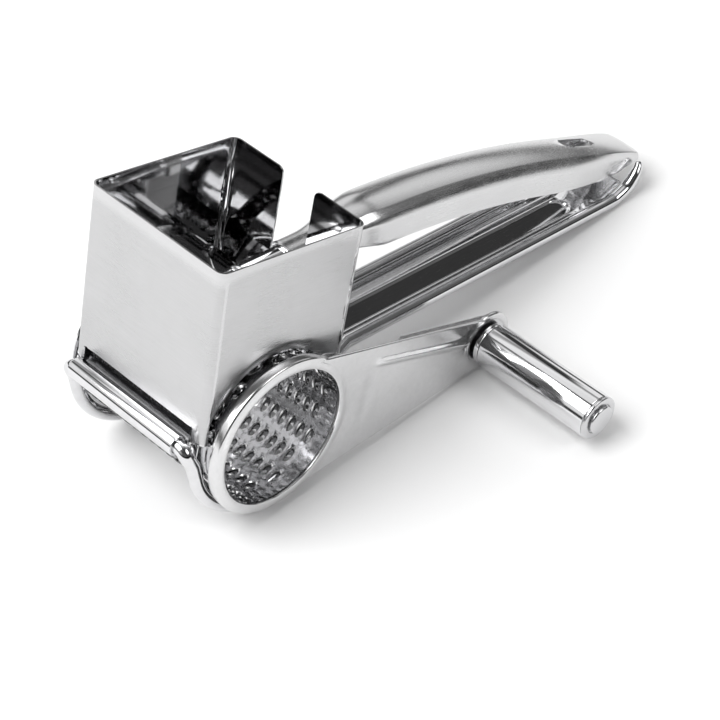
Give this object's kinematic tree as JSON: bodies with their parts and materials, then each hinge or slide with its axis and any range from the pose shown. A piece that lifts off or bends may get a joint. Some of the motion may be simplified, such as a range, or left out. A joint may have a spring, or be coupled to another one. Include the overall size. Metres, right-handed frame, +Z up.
{
  "type": "rotary cheese grater",
  "caption": "Hand-held rotary cheese grater in stainless steel: crank-turned grating drum under a square hinged hopper, with a press handle hinged at the tail of the lower handle.",
  "frame": {"origin": "on the table, straight below the drum's axis, in the middle plane between the two handles' sides", "axes": "+Z up from the table; +X along the handles, from the drum towards the tail; the drum's axis runs along Y, with the crank and its grip at -Y"},
  "size_m": [0.2372, 0.1223, 0.106],
  "materials": {
    "brushed_shell": "brushed stainless sheet, fine straight grain outside",
    "polished_frame": "mirror-polished stainless steel",
    "polished_drum": "mirror-polished stainless sheet with punched teeth",
    "satin_crank": "satin stainless sheet",
    "polished_grip": "polished stainless tube with fine turning marks",
    "black_bush": "matte black bush",
    "polished_press": "polished stainless sheet",
    "steel_pins": "plain riveted steel"
  },
  "bodies": {
    "frame": {"frame_rod": "polished_frame", "right_cheek": "polished_frame", "left_cheek": "polished_frame", "rear_bridge": "polished_frame", "lower_handle": "polished_frame", "hinge_knuckle": "polished_frame", "rear_hinge_pin": "steel_pins"},
    "hopper": {"hopper_shell": "brushed_shell", "hinge_sleeve": "polished_frame"},
    "drum": {"drum_cylinder": "polished_drum", "crank_plate": "satin_crank", "grip_pin": "polished_grip", "grip_washer": "satin_crank"},
    "grip": {"grip_tube": "polished_grip", "grip_base_bush": "black_bush", "grip_end_cap": "polished_grip"},
    "press": {"press_handle": "brushed_shell", "press_neck": "polished_press", "press_plate": "polished_press", "press_rivets": "steel_pins"}
  },
  "joints": [
    {"name": "drum_spin", "type": "hinge", "parent": "frame", "child": "drum", "pos_m": [0, 0, 0.032], "axis": [0, 1, 0], "continuous": true},
    {"name": "grip_spin", "type": "hinge", "parent": "drum", "child": "grip", "pos_m": [0.09268, -0.06, 0.01111], "axis": [0, 1, 0], "continuous": true},
    {"name": "press_lift", "type": "hinge", "parent": "frame", "child": "press", "pos_m": [0.19485, 0, 0.01242], "axis": [0, 1, 0], "range_deg": [-3, 70]},
    {"name": "hopper_open", "type": "hinge", "parent": "frame", "child": "hopper", "pos_m": [-0.03175, 0, 0.04174], "axis": [0, -1, 0], "range_deg": [0, 100]}
  ]
}
